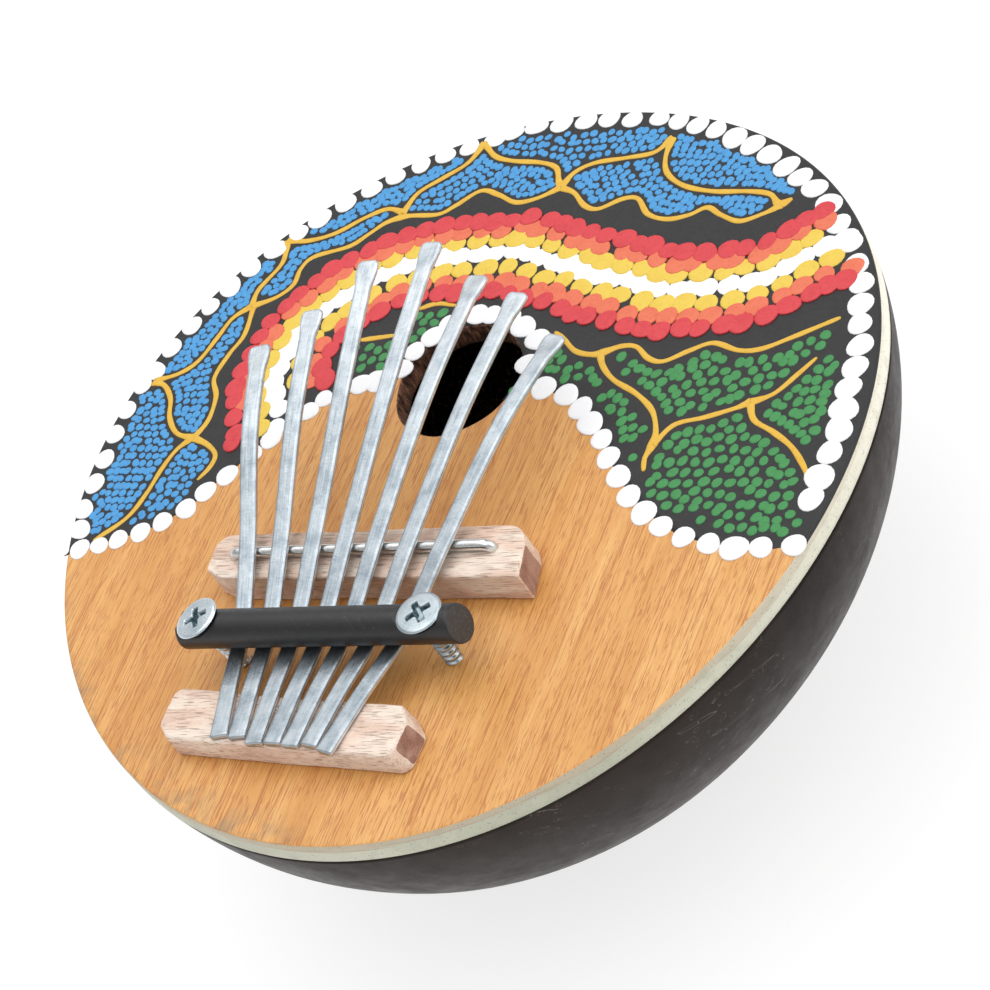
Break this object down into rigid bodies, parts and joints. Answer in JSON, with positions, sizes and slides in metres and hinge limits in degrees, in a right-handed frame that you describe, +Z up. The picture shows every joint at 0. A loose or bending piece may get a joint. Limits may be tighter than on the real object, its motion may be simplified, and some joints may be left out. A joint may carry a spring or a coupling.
{
  "type": "coconut shell thumb piano",
  "caption": "Thumb piano: flat steel tongues clamped by a rod over a round painted soundboard on a half coconut shell, with a round sound hole.",
  "frame": {"origin": "centre of the flat under the shell that the instrument stands on", "axes": "+Z up out of the soundboard, +Y from the player's end towards the tips of the tines and the sound hole, +X to the player's right along the clamp rod"},
  "size_m": [0.145, 0.145, 0.0777],
  "materials": {
    "shell": "polished dark coconut shell",
    "board": "plywood, oiled below and painted black with coloured dots above",
    "block": "raw sawn hardwood",
    "wire": "bright drawn wire",
    "rod": "satin black",
    "screw": "zinc plated",
    "tine": "galvanised flat strip"
  },
  "bodies": {
    "body": {"coconut_shell": "shell", "soundboard": "board", "front_bridge": "block", "saddle_wire": "wire", "rear_block": "block", "clamp_rod": "rod", "clamp_screw_left": "screw", "clamp_screw_right": "screw"},
    "tine_1": {"tine_1": "tine"},
    "tine_2": {"tine_2": "tine"},
    "tine_3": {"tine_3": "tine"},
    "tine_4": {"tine_4": "tine"},
    "tine_5": {"tine_5": "tine"},
    "tine_6": {"tine_6": "tine"},
    "tine_7": {"tine_7": "tine"}
  },
  "joints": [
    {"name": "tine_1_pluck", "type": "hinge", "parent": "body", "child": "tine_1", "pos_m": [-0.0257, -0.0233, 0.06472], "axis": [1, 0, 0], "range_deg": [-6, 3], "stiffness_Nm_per_rad": 3.65, "deforming": ["tine_1"]},
    {"name": "tine_2_pluck", "type": "hinge", "parent": "body", "child": "tine_2", "pos_m": [-0.0194, -0.0233, 0.06472], "axis": [1, 0, 0], "range_deg": [-6, 3], "stiffness_Nm_per_rad": 3.15, "deforming": ["tine_2"]},
    {"name": "tine_3_pluck", "type": "hinge", "parent": "body", "child": "tine_3", "pos_m": [-0.0132, -0.0233, 0.06472], "axis": [1, 0, 0], "range_deg": [-6, 3], "stiffness_Nm_per_rad": 2.66, "deforming": ["tine_3"]},
    {"name": "tine_4_pluck", "type": "hinge", "parent": "body", "child": "tine_4", "pos_m": [-0.0072, -0.0233, 0.06472], "axis": [1, 0, 0], "range_deg": [-6, 3], "stiffness_Nm_per_rad": 2.43, "deforming": ["tine_4"]},
    {"name": "tine_5_pluck", "type": "hinge", "parent": "body", "child": "tine_5", "pos_m": [-0.0015, -0.0233, 0.06472], "axis": [1, 0, 0], "range_deg": [-6, 3], "stiffness_Nm_per_rad": 2.66, "deforming": ["tine_5"]},
    {"name": "tine_6_pluck", "type": "hinge", "parent": "body", "child": "tine_6", "pos_m": [0.0048, -0.0233, 0.06472], "axis": [1, 0, 0], "range_deg": [-6, 3], "stiffness_Nm_per_rad": 2.9, "deforming": ["tine_6"]},
    {"name": "tine_7_pluck", "type": "hinge", "parent": "body", "child": "tine_7", "pos_m": [0.0114, -0.0233, 0.06472], "axis": [1, 0, 0], "range_deg": [-6, 3], "stiffness_Nm_per_rad": 3.42, "deforming": ["tine_7"]}
  ]
}
